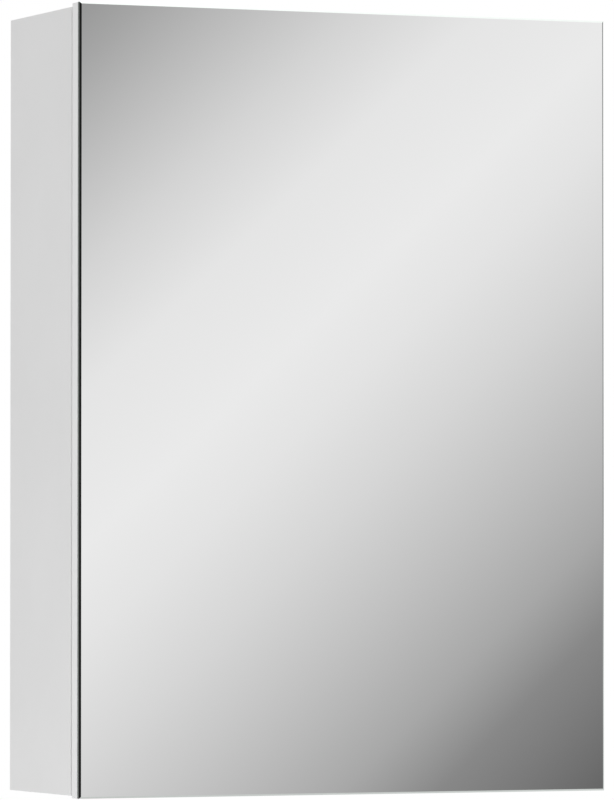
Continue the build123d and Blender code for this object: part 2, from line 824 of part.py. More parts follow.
for hinge_name, hinge_z in hinges.items():
    finish(mounting_plate(hinge_z), f"hinge_{hinge_name}_plate")
    finish(plate_screws(hinge_z), f"hinge_{hinge_name}_plate_screws")
    finish(hinge_arm(hinge_z), f"hinge_{hinge_name}_arm")
    finish(arm_screws(hinge_z), f"hinge_{hinge_name}_arm_screws")
    finish(arm_pins(hinge_z), f"hinge_{hinge_name}_arm_pins")
    finish(outer_link(hinge_z), f"hinge_{hinge_name}_outer_link")
    finish(inner_link(hinge_z), f"hinge_{hinge_name}_inner_link")
    finish(hinge_cup(hinge_z), f"hinge_{hinge_name}_cup")
    finish(cup_pins(hinge_z), f"hinge_{hinge_name}_cup_pins")
    finish(cup_screws(hinge_z), f"hinge_{hinge_name}_cup_screws")


# Door panel with its cup bores, edge bands, tape and mirror
cup_spots = [(inner_half + cup_x, z) for z in hinges.values()]
ear_spots = [
    (x - cup_screw_offset, z + side * cup_screw_spacing / 2) for x, z in cup_spots for side in layers
]
with BuildPart() as door_panel:
    with Locations((0, (door_back + door_front) / 2, door_middle)):
        Box(carcass_width - 2 * edge_band, door_board, door_height - 2 * edge_band)
    with BuildSketch(front_view(door_back)):
        with Locations(*cup_spots):
            Circle(cup_radius)
    extrude(amount=cup_depth, mode=Mode.SUBTRACT)
    with BuildSketch(front_view(door_back)):
        with Locations(*ear_spots):
            Circle(wood_screw_radius + bore_play)
    extrude(amount=wood_screw_length + bore_spare, mode=Mode.SUBTRACT)
finish(door_panel, "door_panel")

with BuildPart() as door_edge_bands:
    with Locations(*[(side * (half_width - edge_band / 2), (door_back + door_front) / 2, door_middle)
                     for side in (1, -1)]):
        Box(edge_band, door_board, door_height)
    with Locations(*[(0, (door_back + door_front) / 2, z)
                     for z in (door_top - edge_band / 2, door_bottom + edge_band / 2)]):
        Box(carcass_width - 2 * (edge_band + band_joint), door_board, edge_band)
finish(door_edge_bands, "door_edge_bands")

with BuildPart() as mirror_tape:
    span = carcass_width - 2 * tape_margin - tape_width
    with Locations(*[(-span / 2 + index * span / (tape_count - 1), door_front - tape_thick / 2, door_middle)
                     for index in range(tape_count)]):
        Box(tape_width, tape_thick, door_height - 2 * tape_margin)
finish(mirror_tape, "mirror_tape")

with BuildPart() as mirror_glass:
    with Locations((0, (glass_back + glass_front) / 2, door_middle)):
        Box(carcass_width, glass_thick, door_height)
    chamfer(mirror_glass.faces().sort_by(Axis.Y)[0].edges(), length=glass_chamfer)
finish(mirror_glass, "mirror_glass")

# Clear bumpers on the door's back, near its free edge
with BuildPart() as door_bumpers:
    bumper_x = -half_width + bumper_inset
    with BuildSketch(front_view(door_back)):
        with Locations((bumper_x, door_top - hinge_end_inset / 2), (bumper_x, door_bottom + hinge_end_inset / 2)):
            Circle(bumper_radius)
    extrude(amount=-bumper_thick, taper=bumper_taper)
finish(door_bumpers, "door_bumpers")
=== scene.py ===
"""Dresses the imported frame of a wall-hung mirror cabinet and sets its studio.

Lengths are metres. The front faces -Y, the wall is the plane y = 0, and +Z is up.
"""

from __future__ import annotations

import json
import logging
import math
from dataclasses import dataclass, field
from enum import Enum, IntEnum
from typing import Protocol

import bmesh
import bpy
from mathutils import Matrix, Vector

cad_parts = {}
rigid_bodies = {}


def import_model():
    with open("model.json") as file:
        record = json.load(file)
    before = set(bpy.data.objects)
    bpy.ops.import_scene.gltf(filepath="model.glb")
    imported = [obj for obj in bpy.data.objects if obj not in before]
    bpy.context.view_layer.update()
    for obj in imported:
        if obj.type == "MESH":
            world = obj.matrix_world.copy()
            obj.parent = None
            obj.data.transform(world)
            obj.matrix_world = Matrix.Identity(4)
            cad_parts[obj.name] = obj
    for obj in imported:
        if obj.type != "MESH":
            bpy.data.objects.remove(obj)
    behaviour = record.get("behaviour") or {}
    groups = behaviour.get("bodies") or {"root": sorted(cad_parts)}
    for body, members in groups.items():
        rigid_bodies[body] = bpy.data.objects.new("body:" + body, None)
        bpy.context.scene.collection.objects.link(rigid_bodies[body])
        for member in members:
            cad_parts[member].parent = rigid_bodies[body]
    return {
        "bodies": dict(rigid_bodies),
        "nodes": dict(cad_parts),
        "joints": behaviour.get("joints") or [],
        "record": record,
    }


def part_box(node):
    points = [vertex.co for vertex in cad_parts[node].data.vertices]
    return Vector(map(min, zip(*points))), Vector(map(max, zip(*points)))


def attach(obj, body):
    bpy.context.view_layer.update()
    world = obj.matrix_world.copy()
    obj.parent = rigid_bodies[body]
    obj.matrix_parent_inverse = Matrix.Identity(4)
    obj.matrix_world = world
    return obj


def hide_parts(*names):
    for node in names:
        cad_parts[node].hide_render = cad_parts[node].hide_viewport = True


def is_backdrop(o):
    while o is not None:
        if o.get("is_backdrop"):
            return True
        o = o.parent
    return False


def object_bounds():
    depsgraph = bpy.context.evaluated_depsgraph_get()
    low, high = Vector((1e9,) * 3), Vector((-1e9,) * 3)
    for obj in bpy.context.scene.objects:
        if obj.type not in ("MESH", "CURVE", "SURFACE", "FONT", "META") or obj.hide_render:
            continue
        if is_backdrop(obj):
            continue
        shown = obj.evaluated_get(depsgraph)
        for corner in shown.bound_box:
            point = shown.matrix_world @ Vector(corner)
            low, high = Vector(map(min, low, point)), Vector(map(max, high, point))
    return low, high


LOG = logging.getLogger("mirror_cabinet")

Colour = tuple[float, float, float]
Span = tuple[float, float]
Socket = bpy.types.NodeSocket
Value = bpy.types.NodeSocket | float | tuple

MM = 0.001
# Corners closer together than this are one corner.
SAME_POINT = 0.001 * MM
# A face looks along a direction when the dot product of the two is above this.
ALIGNED = 0.99
# Most values of a noise pattern lie in this span.
NOISE: Span = (0.3, 0.7)
UNIT: Span = (0.0, 1.0)
WHITE: Colour = (1.0, 1.0, 1.0)
BACKWARD = Vector((0, 1, 0))


class Slot(Enum):
    """Material slots of the record, one for each finish of the cabinet."""

    WHITE_BOARD = "white_board"
    EDGE_BAND = "edge_band"
    BACK_BOARD = "back_board"
    MIRROR = "mirror"
    CLEAR_GLASS = "clear_glass"
    NICKEL = "nickel"
    ZINC = "zinc"
    GALVANISED = "galvanised"
    WHITE_PLASTIC = "white_plastic"
    FOAM_TAPE = "foam_tape"
    CLEAR_RUBBER = "clear_rubber"
    BEECH = "beech"


class PlateSurface(IntEnum):
    """Surfaces of the mirror plate, in the order of its materials."""

    SILVERED = 0
    CHAMFER = 1
    EDGE = 2
    BACK = 3


class ShelfSurface(IntEnum):
    """Surfaces of a glass shelf, in the order of its materials."""

    CLEAR = 0
    EDGE = 1


def shade(colour: Colour, factor: float) -> Colour:
    """Returns a colour made lighter or darker by a factor."""
    return tuple(min(1.0, part * factor) for part in colour)


class Wiring:
    """Adds nodes to a node tree and links them."""

    def __init__(self, tree: bpy.types.NodeTree) -> None:
        """Keeps the tree."""
        self.tree = tree

    def feed(self, socket: Socket, value: Value) -> None:
        """Links a value to an input, or sets it there where it is constant.

        Args:
            socket: The input.
            value: An output of another node, a number, a vector or a colour.
        """
        if isinstance(value, bpy.types.NodeSocket):
            self.tree.links.new(value, socket)
        elif socket.type == "RGBA":
            socket.default_value = (*value, 1.0)
        else:
            socket.default_value = value

    def add(self, kind: str, output: str, inputs: dict[str | int, Value] | None = None,
            **settings: str) -> Socket:
        """Adds a node.

        Args:
            kind: Its type.
            output: Name of the output that is returned.
            inputs: Values of its inputs, by their name or place.
            settings: Values of its own properties.

        Returns:
            The named output.
        """
        node = self.tree.nodes.new(kind)
        for name, value in settings.items():
            setattr(node, name, value)
        for name, value in (inputs or {}).items():
            self.feed(node.inputs[name], value)
        return node.outputs[output]

    def span(self, value: Socket, source: Span, target: Span) -> Socket:
        """Maps a value from one span to another, held at both ends.

        Args:
            value: The value.
            source: The span that it comes from.
            target: The span that it goes to.

        Returns:
            The mapped value.
        """
        return self.add("ShaderNodeMapRange", "Result", {
            "Value": value, "From Min": source[0], "From Max": source[1],
            "To Min": target[0], "To Max": target[1]})

    def mixed(self, share: Socket, first: Socket, second: Socket) -> Socket:
        """Mixes two shaders: the first alone at a share of 0, the second alone at 1."""
        return self.add("ShaderNodeMixShader", "Shader", {"Fac": share, 1: first, 2: second})


class NodeSheet(Wiring):
    """Holds one material and wires its nodes, with patterns on Object coordinates."""

    def __init__(self, name: str) -> None:
        """Starts a material with its Principled shader.

        Args:
            name: The material's name.
        """
        self.material = bpy.data.materials.new(name)
        self.material.use_nodes = True
        super().__init__(self.material.node_tree)
        self.shader = self.tree.nodes["Principled BSDF"]
        self.place = self.add("ShaderNodeTexCoord", "Object")

    def set(self, **values: float | Colour) -> None:
        """Sets constant values on the shader's own sockets.

        Args:
            values: Socket names in lower case with underscores, and their values.
        """
        for name, value in values.items():
            name = name.replace("_", " ").title().replace("Ior", "IOR")
            self.feed(self.shader.inputs[name], value)

    def to(self, name: str, value: Socket) -> None:
        """Links a value or colour to one of the shader's sockets."""
        self.feed(self.shader.inputs[name], value)

    def end(self, shader: Socket) -> None:
        """Ends the material with a shader other than its own."""
        self.feed(self.tree.nodes["Material Output"].inputs["Surface"], shader)

    def stretched(self, scale: Colour) -> Socket:
        """Returns Object coordinates stretched by a scale along each axis."""
        return self.add("ShaderNodeMapping", "Vector", {"Vector": self.place, "Scale": scale})

    def axis(self, name: str) -> Socket:
        """Returns one Object coordinate, named X, Y or Z."""
        return self.add("ShaderNodeSeparateXYZ", name, {"Vector": self.place})

    def length(self, place: Socket) -> Socket:
        """Returns how far a place lies from the origin."""
        return self.add("ShaderNodeVectorMath", "Value", {0: place}, operation="LENGTH")

    def tones(self, value: Socket, stops: dict[float, Colour]) -> Socket:
        """Turns a value into a colour by a ramp.

        Args:
            value: The value, 0 to 1.
            stops: Ramp positions and their colours, in order.

        Returns:
            The colour.
        """
        colour = self.add("ShaderNodeValToRGB", "Color", {"Fac": value})
        elements = colour.node.color_ramp.elements
        while len(elements) < len(stops):
            elements.new(0.5)
        for element, (position, tone) in zip(elements, sorted(stops.items())):
            element.position = position
            element.color = (*tone, 1.0)
        return colour

    def mottled(self, pattern: Socket, colour: Colour, shades: Span, edges: Span = NOISE) -> Socket:
        """Varies a colour by two factors, which hold at the lower and upper edge of a pattern."""
        stops = {edge: shade(colour, factor) for edge, factor in zip(edges, shades)}
        return self.tones(pattern, stops)

    def emboss(self, pattern: Socket, depth: float, strength: float) -> None:
        """Adds relief from a height pattern: its depth in metres, and its strength, 0 to 1."""
        self.to("Normal", self.add("ShaderNodeBump", "Normal", {
            "Height": pattern, "Distance": depth, "Strength": strength}))

    def glow(self, colour: Value, strength: float = 1.0) -> Socket:
        """Returns a shader that shines in a colour."""
        return self.add("ShaderNodeEmission", "Emission", {"Color": colour, "Strength": strength})

    def clear(self) -> Socket:
        """Returns a shader that lets all light through."""
        return self.add("ShaderNodeBsdfTransparent", "BSDF")


@dataclass(frozen=True)
class Grain:
    """Noise pattern: cells per metre, octaves of finer noise, and stretch along each axis."""

    scale: float
    detail: float = 3.0
    stretch: Colour = (1.0, 1.0, 1.0)

    def draw(self, sheet: NodeSheet) -> Socket:
        """Draws the pattern on a sheet; its values lie around 0.5."""
        return sheet.add("ShaderNodeTexNoise", "Fac", {
            "Vector": sheet.stretched(self.stretch), "Scale": self.scale, "Detail": self.detail})


@dataclass(frozen=True)
class Crystals:
    """Pattern of flat cells, each with a grey of its own: cells per metre."""

    scale: float

    def draw(self, sheet: NodeSheet) -> Socket:
        """Draws the pattern on a sheet; its values lie between 0 and 1."""
        cells = sheet.add("ShaderNodeTexVoronoi", "Color", {"Vector": sheet.place, "Scale": self.scale})
        return sheet.add("ShaderNodeRGBToBW", "Val", {"Color": cells})


class Finish(Protocol):
    """What each finish can do."""

    def paint(self, sheet: NodeSheet) -> None:
        """Wires the finish on a sheet."""


@dataclass(frozen=True)
class Coat:
    """Finish whose colour, roughness and relief each follow a pattern.

    The colour turns from the first to the second of its shades, and the roughness between its
    two values, while the pattern passes between its edges. A roughness pattern that is left out
    is that of the colour, and a relief pattern that is left out is that of the roughness.
    """

    colour: Colour
    roughness: Span
    shades: Span
    cloud: Grain | Crystals
    cloud_edges: Span = NOISE
    gloss: Grain | None = None
    gloss_edges: Span = NOISE
    grain: Grain | None = None
    relief: float = 0.0
    relief_strength: float = 0.0

    def paint(self, sheet: NodeSheet) -> None:
        """Wires the finish on a sheet.

        Args:
            sheet: The sheet.
        """
        cloud = self.cloud.draw(sheet)
        gloss = self.gloss.draw(sheet) if self.gloss else cloud
        sheet.to("Base Color", sheet.mottled(cloud, self.colour, self.shades, self.cloud_edges))
        sheet.to("Roughness", sheet.span(gloss, self.gloss_edges, self.roughness))
        if self.relief:
            grain = self.grain.draw(sheet) if self.grain else gloss
            sheet.emboss(grain, self.relief, self.relief_strength)


@dataclass(frozen=True)
class MetalCoat(Coat):
    """Coat that reflects as a metal does."""

    def paint(self, sheet: NodeSheet) -> None:
        """Wires the finish on a sheet."""
        sheet.set(metallic=1.0)
        super().paint(sheet)


@dataclass(frozen=True)
class ClearCoat(Coat):
    """Coat that lets light through and bends it."""

    passing: float = 1.0
    bending: float = 1.5

    def paint(self, sheet: NodeSheet) -> None:
        """Wires the finish on a sheet."""
        sheet.set(transmission_weight=self.passing, ior=self.bending)
        super().paint(sheet)


@dataclass(frozen=True)
class Laminate(Coat):
    """White melamine face with a fine pearl grain and very faint cloudiness."""

    colour: Colour = (0.79, 0.79, 0.79)
    roughness: Span = (0.42, 0.52)
    shades: Span = (0.985, 1.01)
    cloud: Grain = Grain(9.0)
    cloud_edges: Span = (0.35, 0.65)
    gloss: Grain = Grain(1400.0 / 3)
    grain: Grain = Grain(1400.0, 2.0)
    relief: float = 0.03 * MM
    relief_strength: float = 0.35


@dataclass(frozen=True)
class EdgeBand(Coat):
    """White plastic edging with faint drawn lines along its length."""

    colour: Colour = (0.85, 0.85, 0.85)
    roughness: Span = (0.34, 0.44)
    shades: Span = (0.985, 1.0)
    cloud: Grain = Grain(900.0, 2.0, (1.0, 1.0, 0.03))
    relief: float = 0.02 * MM
    relief_strength: float = 0.3


@dataclass(frozen=True)
class BackBoard:
    """Thin fibreboard, lacquered white in front and bare brown behind."""

    front: Colour = (0.77, 0.77, 0.765)
    fibre: Colour = (0.33, 0.21, 0.12)
    shades: Span = (0.8, 1.25)
    felt: Grain = Grain(700.0, 5.0)
    turn_y: float = -19.5 * MM
    blur: float = 0.2 * MM
    roughness: Span = (0.4, 0.8)
    grain: Grain = Grain(1100.0)
    relief: float = 0.04 * MM
    relief_strength: float = 0.4

    def paint(self, sheet: NodeSheet) -> None:
        """Wires the finish on a sheet.

        Args:
            sheet: The sheet.
        """
        turn = (self.turn_y - self.blur, self.turn_y + self.blur)
        depth = sheet.span(sheet.axis("Y"), turn, UNIT)
        felt = sheet.mottled(self.felt.draw(sheet), self.fibre, self.shades)
        sheet.to("Base Color", sheet.add("ShaderNodeMix", "Result", {
            "Factor": depth, "A": self.front, "B": felt}, data_type="RGBA"))
        sheet.to("Roughness", sheet.span(depth, UNIT, self.roughness))
        sheet.emboss(self.grain.draw(sheet), self.relief, self.relief_strength)


@dataclass(frozen=True)
class Silver(MetalCoat):
    """Silvered float glass seen from the front, neutral, with a trace of haze."""

    colour: Colour = (0.90, 0.90, 0.90)
    roughness: Span = (0.0, 0.012)
    shades: Span = (0.995, 1.0)
    cloud: Grain = Grain(3.0)
    gloss: Grain = Grain(30.0)
    gloss_edges: Span = (0.55, 0.8)


@dataclass(frozen=True)
class ChamferGlass(MetalCoat):
    """Polished slope at the plate's border, which mirrors what lies to the side."""

    colour: Colour = (0.80, 0.84, 0.815)
    roughness: Span = (0.01, 0.05)
    shades: Span = (0.97, 1.0)
    cloud: Grain = Grain(220.0, 2.0)


@dataclass(frozen=True)
class ShadedGroundEdge:
    """Edge of the mirror plate: green glass with painted shade, darkest at the front and paling towards
    the silvered back.
    """

    # Painted shade: the colour runs from this dark front to a paler back along Y, standing in for how
    # light falls on the edge; only the green tint is the glass's own.
    front: Colour = (0.075, 0.088, 0.080)
    back: Colour = (0.125, 0.145, 0.132)
    shade_front_y: float = -169.0 * MM
    shade_back_y: float = -166.0 * MM
    roughness: Span = (0.16, 0.3)
    gloss: Grain = Grain(800.0, 2.0)
    grain: Grain = Grain(1500.0, 1.0, (1.0, 1.0, 0.05))
    relief: float = 0.01 * MM
    relief_strength: float = 0.3

    def paint(self, sheet: NodeSheet) -> None:
        """Wires the finish on a sheet.

        Args:
            sheet: The sheet.
        """
        # The front-to-back ramp below is painted shade.
        depth = sheet.span(sheet.axis("Y"), (self.shade_front_y, self.shade_back_y), UNIT)
        sheet.to("Base Color", sheet.tones(depth, {0.0: self.front, 1.0: self.back}))
        sheet.to("Roughness", sheet.span(self.gloss.draw(sheet), NOISE, self.roughness))
        sheet.emboss(self.grain.draw(sheet), self.relief, self.relief_strength)


@dataclass(frozen=True)
class BackPaint(Coat):
    """Grey protective paint on the plate's back, slightly mottled."""

    colour: Colour = (0.24, 0.26, 0.27)
    roughness: Span = (0.4, 0.55)
    shades: Span = (0.9, 1.08)
    cloud: Grain = Grain(60.0)
    gloss: Grain = Grain(500.0)
    grain: Grain = Grain(1200.0)
    relief: float = 0.03 * MM
    relief_strength: float = 0.4


@dataclass(frozen=True)
class ClearGlass(ClearCoat):
    """Clear float glass of a shelf."""

    colour: Colour = (0.93, 0.98, 0.955)
    roughness: Span = (0.0, 0.02)
    shades: Span = (0.99, 1.0)
    cloud: Grain = Grain(5.0)
    gloss: Grain = Grain(60.0)
    gloss_edges: Span = (0.5, 0.8)


@dataclass(frozen=True)
class GlassEdge(ClearCoat):
    """Polished edge of a shelf, where the glass shows its green."""

    colour: Colour = (0.20, 0.50, 0.38)
    roughness: Span = (0.05, 0.14)
    shades: Span = (0.8, 1.25)
    cloud: Grain = Grain(40.0, 3.0, (0.4, 1.0, 6.0))
    passing: float = 0.55


@dataclass(frozen=True)
class PlatedSteel(MetalCoat):
    """Plated steel: a bright coat with soft unevenness and fine marks of its tool."""

    shades: Span = (0.93, 1.04)
    cloud: Grain = Grain(120.0, 4.0)
    relief: float = 0.02 * MM
    relief_strength: float = 0.3


@dataclass(frozen=True)
class Nickel(PlatedSteel):
    """Steel with a bright nickel coat."""

    colour: Colour = (0.72, 0.70, 0.67)
    roughness: Span = (0.144, 0.225)
    grain: Grain = Grain(600.0, 2.0)


@dataclass(frozen=True)
class Zinc(PlatedSteel):
    """Steel with a bluish zinc coat, duller than nickel."""

    colour: Colour = (0.66, 0.69, 0.73)
    roughness: Span = (0.24, 0.375)
    grain: Grain = Grain(900.0, 2.0)


@dataclass(frozen=True)
class Spangle(MetalCoat):
    """Galvanised strip with the flat crystals of its zinc."""

    colour: Colour = (0.60, 0.62, 0.64)
    roughness: Span = (0.3, 0.5)
    shades: Span = (0.82, 1.12)
    cloud: Crystals = Crystals(260.0)
    cloud_edges: Span = (0.2, 0.8)
    gloss_edges: Span = (0.2, 0.8)
    grain: Grain = Grain(900.0)
    relief: float = 0.02 * MM
    relief_strength: float = 0.3


@dataclass(frozen=True)
class MouldedPlastic(Coat):
    """White moulded plastic with a fine spark-eroded texture."""

    colour: Colour = (0.76, 0.76, 0.75)
    roughness: Span = (0.34, 0.46)
    shades: Span = (0.98, 1.0)
    cloud: Grain = Grain(30.0)
    gloss: Grain = Grain(2200.0, 2.0)
    relief: float = 0.03 * MM
    relief_strength: float = 0.4
    scatter: float = 0.05

    def paint(self, sheet: NodeSheet) -> None:
        """Wires the finish on a sheet."""
        sheet.set(subsurface_weight=self.scatter)
        super().paint(sheet)


@dataclass(frozen=True)
class Foam(Coat):
    """Dark closed-cell foam of the mounting tape."""

    colour: Colour = (0.03, 0.03, 0.033)
    roughness: Span = (0.8, 0.95)
    shades: Span = (0.6, 1.5)
    cloud: Grain = Grain(2500.0, 4.0)
    relief: float = 0.08 * MM
    relief_strength: float = 0.7


@dataclass(frozen=True)
class SoftRubber(ClearCoat):
    """Clear soft bumper, slightly cloudy."""

    colour: Colour = (0.86, 0.88, 0.9)
    roughness: Span = (0.15, 0.3)
    shades: Span = (0.95, 1.0)
    cloud: Grain = Grain(500.0)
    passing: float = 0.7
    bending: float = 1.45


@dataclass(frozen=True)
class Beech(Coat):
    """Beech dowel with its grain along X."""

    colour: Colour = (0.52, 0.34, 0.19)
    roughness: Span = (0.55, 0.7)
    shades: Span = (0.75, 1.15)
    cloud: Grain = Grain(900.0, 4.0, (0.05, 1.0, 1.0))
    relief: float = 0.05 * MM
    relief_strength: float = 0.5


def slot_finishes() -> dict[Slot, Finish]:
    """Returns the finish of each of the record's slots.

    Returns:
        The finishes by slot.
    """
    return {
        Slot.WHITE_BOARD: Laminate(),
        Slot.EDGE_BAND: EdgeBand(),
        Slot.BACK_BOARD: BackBoard(),
        Slot.MIRROR: Silver(),
        Slot.CLEAR_GLASS: ClearGlass(),
        Slot.NICKEL: Nickel(),
        Slot.ZINC: Zinc(),
        Slot.GALVANISED: Spangle(),
        Slot.WHITE_PLASTIC: MouldedPlastic(),
        Slot.FOAM_TAPE: Foam(),
        Slot.CLEAR_RUBBER: SoftRubber(),
        Slot.BEECH: Beech(),
    }


@dataclass
class Palette:
    """Makes each finish once and hands out its material."""

    finishes: dict[Slot, Finish] = field(default_factory=slot_finishes)
    made: dict[str, bpy.types.Material] = field(default_factory=dict)

    def material(self, name: str, finish: Finish) -> bpy.types.Material:
        """Makes the material of a finish the first time it is asked for.

        Args:
            name: The material's name.
            finish: The finish that paints it.

        Returns:
            The material.
        """
        if name not in self.made:
            sheet = NodeSheet(name)
            finish.paint(sheet)
            self.made[name] = sheet.material
        return self.made[name]

    def of(self, slot: Slot) -> bpy.types.Material:
        """Returns the material of one of the record's slots."""
        return self.material(slot.value, self.finishes[slot])


@dataclass(frozen=True)
class Rounding:
    """How a node's copy is made smooth.

    Faces that meet at less than the flat angle are joined, and edges sharper than the edge angle
    are rounded with a number of segments.
    """

    flat_angle: float = math.radians(0.5)
    edge_angle: float = math.radians(35)
    segments: int = 2


class Workshop:
    """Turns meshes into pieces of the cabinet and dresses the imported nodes."""

    def __init__(self, frame: dict, palette: Palette) -> None:
        """Keeps the frame and the palette.

        Args:
            palette: The finishes.
        """
        self.frame = frame
        self.palette = palette
        self.slots = {part["node"]: Slot(part["material_slot"]) for part in frame["record"]["subparts"]}
        bodies = frame["record"]["behaviour"]["bodies"]
        self.bodies = {node: body for body, nodes in bodies.items() for node in nodes}
        self.rounding = Rounding()

    def dress_nodes(self) -> None:
        """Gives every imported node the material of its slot."""
        for name, node in self.frame["nodes"].items():
            material = self.palette.of(self.slots[name])
            if not node.material_slots:
                node.data.materials.append(material)
            for holder in node.material_slots:
                holder.material = material
            LOG.info("dressed %s with %s", name, material.name)

    def piece(self, name: str, shape: bmesh.types.BMesh, node: str,
              materials: list[bpy.types.Material] | None = None) -> bpy.types.Object:
        """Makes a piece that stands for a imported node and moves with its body.

        Args:
            name: The piece's name.
            shape: Its shape, which is used up.
            node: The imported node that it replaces.
            materials: Its materials, or None for that of the node's slot.

        Returns:
            The piece.
        """
        made = linked_mesh(name, shape)
        for material in materials or [self.palette.of(self.slots[node])]:
            made.data.materials.append(material)
        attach(made, self.bodies[node])
        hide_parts(node)
        LOG.info("made %s, %d faces, on %s", name, len(made.data.polygons), self.bodies[node])
        return made

    def merged_copy(self, node: str) -> bmesh.types.BMesh:
        """Copies a node's mesh, with its triangles joined to flat faces.

        Args:
            node: The node.

        Returns:
            The copy.
        """
        shape = bmesh.new()
        shape.from_mesh(self.frame["nodes"][node].data)
        for face in shape.faces:
            face.material_index = 0
        bmesh.ops.remove_doubles(shape, verts=shape.verts, dist=SAME_POINT)
        bmesh.ops.dissolve_limit(shape, angle_limit=self.rounding.flat_angle, verts=shape.verts,
                                 edges=shape.edges)
        return shape

    def softened(self, name: str, node: str, radius: float) -> bpy.types.Object:
        """Makes a node's copy with rounded edges, as pressed, moulded or banded pieces have.

        Args:
            name: The piece's name.
            node: The node that is copied and replaced.
            radius: Width of the rounding in metres.

        Returns:
            The piece.
        """
        made = self.piece(name, self.merged_copy(node), node)
        shade_smooth(made, self.rounding.edge_angle)
        bevel = made.modifiers.new("rounding", "BEVEL")
        bevel.width = radius
        bevel.segments = self.rounding.segments
        bevel.limit_method = "ANGLE"
        bevel.angle_limit = self.rounding.edge_angle
        bevel.harden_normals = True
        return made


def linked_mesh(name: str, shape: bmesh.types.BMesh) -> bpy.types.Object:
    """Makes an object of a shape and puts it in the scene.

    Args:
        name: The object's name.
        shape: The shape, which is used up.

    Returns:
        The object.
    """
    mesh = bpy.data.meshes.new(name)
    shape.to_mesh(mesh)
    shape.free()
    made = bpy.data.objects.new(name, mesh)
    bpy.context.scene.collection.objects.link(made)
    return made


def shade_smooth(made: bpy.types.Object, edge_angle: float) -> None:
    """Smooths an object's shading, apart from its sharp edges.

    Args:
        made: The object.
        edge_angle: Angle in radians from which an edge is sharp.
    """
    for face in made.data.polygons:
        face.use_smooth = True
    made.data.set_sharp_from_angle(angle=edge_angle)


def slab(low: Vector, high: Vector) -> bmesh.types.BMesh:
    """Makes a box.

    Args:
        low: Its lowest corner.
        high: Its highest corner.

    Returns:
        The box.
    """
    shape = bmesh.new()
    place = Matrix.Translation((low + high) / 2) @ Matrix.Diagonal((*(high - low), 1.0))
    bmesh.ops.create_cube(shape, size=1.0, matrix=place)
    shape.normal_update()
    return shape


def edges_facing(shape: bmesh.types.BMesh, way: Vector) -> list[bmesh.types.BMEdge]:
    """Returns the edges round the faces that look along a direction."""
    return list({edge for face in shape.faces if face.normal.dot(way) > ALIGNED for edge in face.edges})


def break_edges(shape: bmesh.types.BMesh, edges: list[bmesh.types.BMEdge], width: float,
                segments: int = 1) -> None:
    """Bevels some edges of a shape.

    Args:
        shape: The shape.
        edges: The edges.
        width: Width that is taken off each face, in metres.
        segments: Faces across the bevel.
    """
    bmesh.ops.bevel(shape, geom=edges, offset=width, affect="EDGES", segments=segments,
                    profile=0.5, material=-1)
    shape.normal_update()


def revolved(section: list[tuple[float, float]], steps: int) -> bmesh.types.BMesh:
    """Turns a half section round the Z axis.

    Args:
        section: Radius and height of its corners, the first and last on the axis.
        steps: Facets round the axis.

    Returns:
        The closed shape.
    """
    shape = bmesh.new()
    corners = [shape.verts.new((radius, 0.0, height)) for radius, height in section]
    line = [shape.edges.new(pair) for pair in zip(corners, corners[1:])]
    bmesh.ops.spin(shape, geom=corners + line, cent=(0, 0, 0), axis=(0, 0, 1), angle=math.tau,
                   steps=steps, use_merge=True)
    bmesh.ops.remove_doubles(shape, verts=shape.verts, dist=SAME_POINT)
    bmesh.ops.recalc_face_normals(shape, faces=shape.faces)
    return shape


def repeated(shape: bmesh.types.BMesh, places: list[Matrix]) -> bmesh.types.BMesh:
    """Puts a copy of a shape at each of several places.

    Args:
        shape: The shape, which is used up.
        places: The matrix of each copy.

    Returns:
        The copies as one shape.
    """
    pattern = bpy.data.meshes.new("pattern")
    shape.to_mesh(pattern)
    shape.free()
    group = bmesh.new()
    for place in places:
        start = len(group.verts)
        group.from_mesh(pattern)
        group.verts.ensure_lookup_table()
        bmesh.ops.transform(group, matrix=place, verts=group.verts[start:])
    bpy.data.meshes.remove(pattern)
    return group


def cut_away(shape: bmesh.types.BMesh, tool: bmesh.types.BMesh) -> bmesh.types.BMesh:
    """Subtracts one shape from another; both are used up.

    Args:
        shape: What is cut.
        tool: What is taken away, which may overlap itself.

    Returns:
        The cut shape.
    """
    target, cutter = (linked_mesh("cutting", part) for part in (shape, tool))
    boolean = target.modifiers.new("cut", "BOOLEAN")
    boolean.operation = "DIFFERENCE"
    boolean.solver = "EXACT"
    boolean.use_self = True
    boolean.object = cutter
    done = bmesh.new()
    done.from_object(target, bpy.context.evaluated_depsgraph_get())
    for holder in (target, cutter):
        mesh = holder.data
        bpy.data.objects.remove(holder)
        bpy.data.meshes.remove(mesh)
    return done


